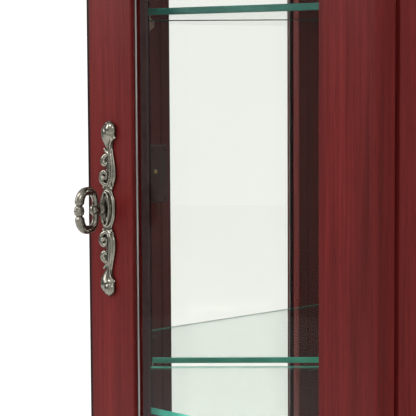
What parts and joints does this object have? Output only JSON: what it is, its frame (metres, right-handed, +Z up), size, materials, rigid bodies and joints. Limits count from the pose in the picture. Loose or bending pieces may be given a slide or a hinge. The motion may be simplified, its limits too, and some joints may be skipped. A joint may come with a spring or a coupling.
{
  "type": "corner curio cabinet",
  "caption": "Tall five-sided corner curio cabinet with a locking glazed door, glazed short sides, mirrored backs and glass shelves on clips.",
  "frame": {"origin": "centre of the overall box in plan, at the underside of the base", "axes": "+Z up; the door faces -Y; the square rear corner points to +Y; +X to the right seen from the front"},
  "size_m": [0.5642, 0.4214, 1.587],
  "materials": {
    "cherry_wood": "satin lacquer over red cherry stain",
    "back_board": "bare hardboard",
    "shelf_glass": "clear, green at the ground edges",
    "clear_glass": "clear",
    "mirror": "silvered glass",
    "antique_pewter": "antique pewter plate, dark in the recesses",
    "hinge_brass": "satin antique brass",
    "lock_steel": "dark brown lacquered steel",
    "clip_bronze": "brown bronze lacquer",
    "glazing_vinyl": "clear vinyl glazing channel"
  },
  "bodies": {
    "case": {"bottom_panel": "cherry_wood", "top_panel": "cherry_wood", "rear_post": "cherry_wood", "left_front_post": "cherry_wood", "left_wall_post": "cherry_wood", "left_side_bottom_rail": "cherry_wood", "left_side_top_rail": "cherry_wood", "base_left": "cherry_wood", "crown_left": "cherry_wood", "left_side_glass": "clear_glass", "left_mirror": "mirror", "left_back_board": "back_board", "right_front_post": "cherry_wood", "right_wall_post": "cherry_wood", "right_side_bottom_rail": "cherry_wood", "right_side_top_rail": "cherry_wood", "base_right": "cherry_wood", "crown_right": "cherry_wood", "right_side_glass": "clear_glass", "right_mirror": "mirror", "right_back_board": "back_board", "base_front": "cherry_wood", "crown_front": "cherry_wood", "shelf_1": "shelf_glass", "clip_1_left_front": "clip_bronze", "clip_1_left_wall": "clip_bronze", "clip_1_right_front": "clip_bronze", "clip_1_right_wall": "clip_bronze", "shelf_2": "shelf_glass", "clip_2_left_front": "clip_bronze", "clip_2_left_wall": "clip_bronze", "clip_2_right_front": "clip_bronze", "clip_2_right_wall": "clip_bronze", "shelf_3": "shelf_glass", "clip_3_left_front": "clip_bronze", "clip_3_left_wall": "clip_bronze", "clip_3_right_front": "clip_bronze", "clip_3_right_wall": "clip_bronze", "shelf_4": "shelf_glass", "clip_4_left_front": "clip_bronze", "clip_4_left_wall": "clip_bronze", "clip_4_right_front": "clip_bronze", "clip_4_right_wall": "clip_bronze", "lower_hinge_case_leaf": "hinge_brass", "lower_hinge_pin": "hinge_brass", "upper_hinge_case_leaf": "hinge_brass", "upper_hinge_pin": "hinge_brass", "strike_plate": "hinge_brass"},
    "door": {"door_lock_stile": "cherry_wood", "door_hinge_stile": "cherry_wood", "door_top_rail": "cherry_wood", "door_bottom_rail": "cherry_wood", "door_glass": "clear_glass", "glazing_channel": "glazing_vinyl", "escutcheon": "antique_pewter", "lock_case": "lock_steel", "lower_hinge_door_leaf": "hinge_brass", "upper_hinge_door_leaf": "hinge_brass"},
    "bolt": {"lock_bolt": "hinge_brass"},
    "key": {"key": "antique_pewter"}
  },
  "joints": [
    {"name": "door_swing", "type": "hinge", "parent": "case", "child": "door", "pos_m": [0.1387, -0.15923, 0.8075], "axis": [0, 0, 1], "range_deg": [0, 110]},
    {"name": "key_turn", "type": "hinge", "parent": "door", "child": "key", "pos_m": [-0.112, -0.17873, 0.8088], "axis": [0, 1, 0], "range_deg": [0, 180]},
    {"name": "bolt_slide", "type": "slide", "parent": "door", "child": "bolt", "axis": [-1, 0, 0], "range_m": [0, 0.01]}
  ],
  "couplings": [
    {"joint": "bolt_slide", "follows": "key_turn", "m_per_rad": 0.00318}
  ]
}
